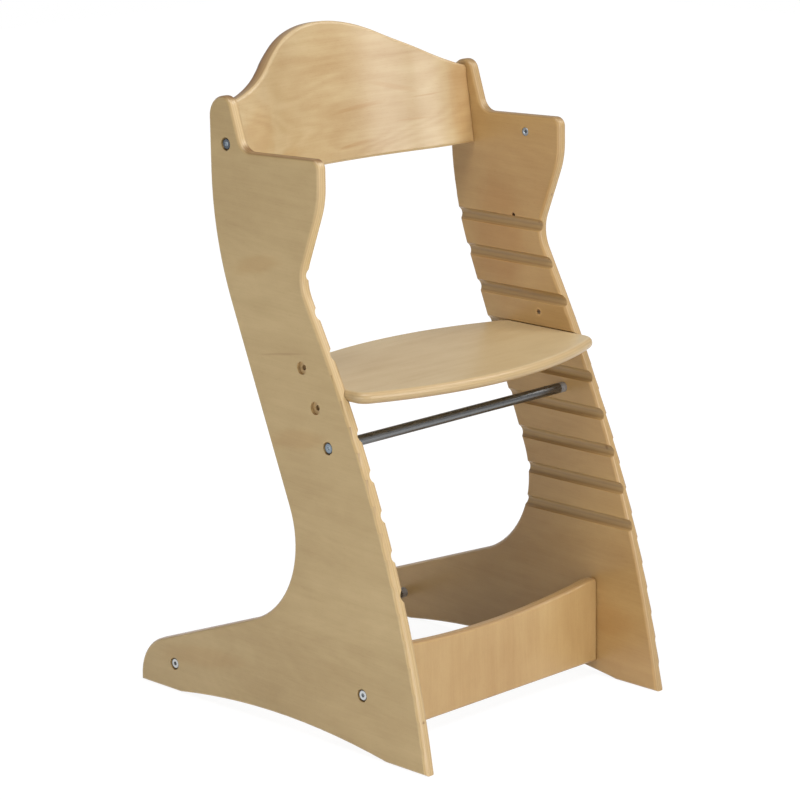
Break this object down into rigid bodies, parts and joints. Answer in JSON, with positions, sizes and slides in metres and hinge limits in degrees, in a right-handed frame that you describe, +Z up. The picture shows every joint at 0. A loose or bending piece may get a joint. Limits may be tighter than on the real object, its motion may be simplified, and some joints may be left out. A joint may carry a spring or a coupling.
{
  "type": "baby high chair",
  "caption": "Wooden high chair: grooved side panels carry a sliding plate seat, a bent backrest, a front stretcher and steel cross rods.",
  "frame": {"origin": "on the floor, in the middle of the footprint", "axes": "+X to the viewer's right when the chair faces the viewer, -Y to the front where the child's legs hang, +Z up"},
  "size_m": [0.45, 0.55, 0.886],
  "materials": {
    "panel_plywood": "satin clear lacquer over beech-faced plywood",
    "seat_plywood": "satin clear lacquer over beech-faced plywood",
    "backrest_plywood": "satin clear lacquer over moulded plywood with lively grain",
    "stretcher_plywood": "satin clear lacquer over plywood",
    "dowel_beech": "plain turned beech",
    "rod_steel": "polished dark steel",
    "bolt_zinc": "bright zinc plate",
    "nut_zinc": "zinc plate",
    "insert_zinc": "bright zinc plate"
  },
  "bodies": {
    "chair": {"left_side_panel": "panel_plywood", "right_side_panel": "panel_plywood", "backrest": "backrest_plywood", "front_stretcher": "stretcher_plywood", "seat_rod_tube": "rod_steel", "seat_rod_plug_left": "rod_steel", "seat_rod_plug_right": "rod_steel", "rear_rod_tube": "rod_steel", "rear_rod_plug_left": "rod_steel", "rear_rod_plug_right": "rod_steel", "backrest_bolt_left": "bolt_zinc", "backrest_bolt_right": "bolt_zinc", "stretcher_bolt_left": "bolt_zinc", "stretcher_bolt_right": "bolt_zinc", "seat_rod_bolt_left": "bolt_zinc", "seat_rod_bolt_right": "bolt_zinc", "rear_rod_bolt_left": "bolt_zinc", "rear_rod_bolt_right": "bolt_zinc", "backrest_barrel_nut_left": "nut_zinc", "backrest_barrel_nut_right": "nut_zinc", "stretcher_barrel_nut_left": "nut_zinc", "stretcher_barrel_nut_right": "nut_zinc", "backrest_dowel_upper_left": "dowel_beech", "backrest_dowel_upper_right": "dowel_beech", "backrest_dowel_lower_left": "dowel_beech", "backrest_dowel_lower_right": "dowel_beech", "stretcher_dowel_upper_left": "dowel_beech", "stretcher_dowel_upper_right": "dowel_beech", "stretcher_dowel_lower_left": "dowel_beech", "stretcher_dowel_lower_right": "dowel_beech", "bar_insert_left": "insert_zinc", "bar_insert_right": "insert_zinc"},
    "seat": {"seat_plate": "seat_plywood"}
  },
  "joints": [
    {"name": "seat_slide", "type": "slide", "parent": "chair", "child": "seat", "axis": [0, -1, 0], "range_m": [-0.03, 0.17]}
  ]
}
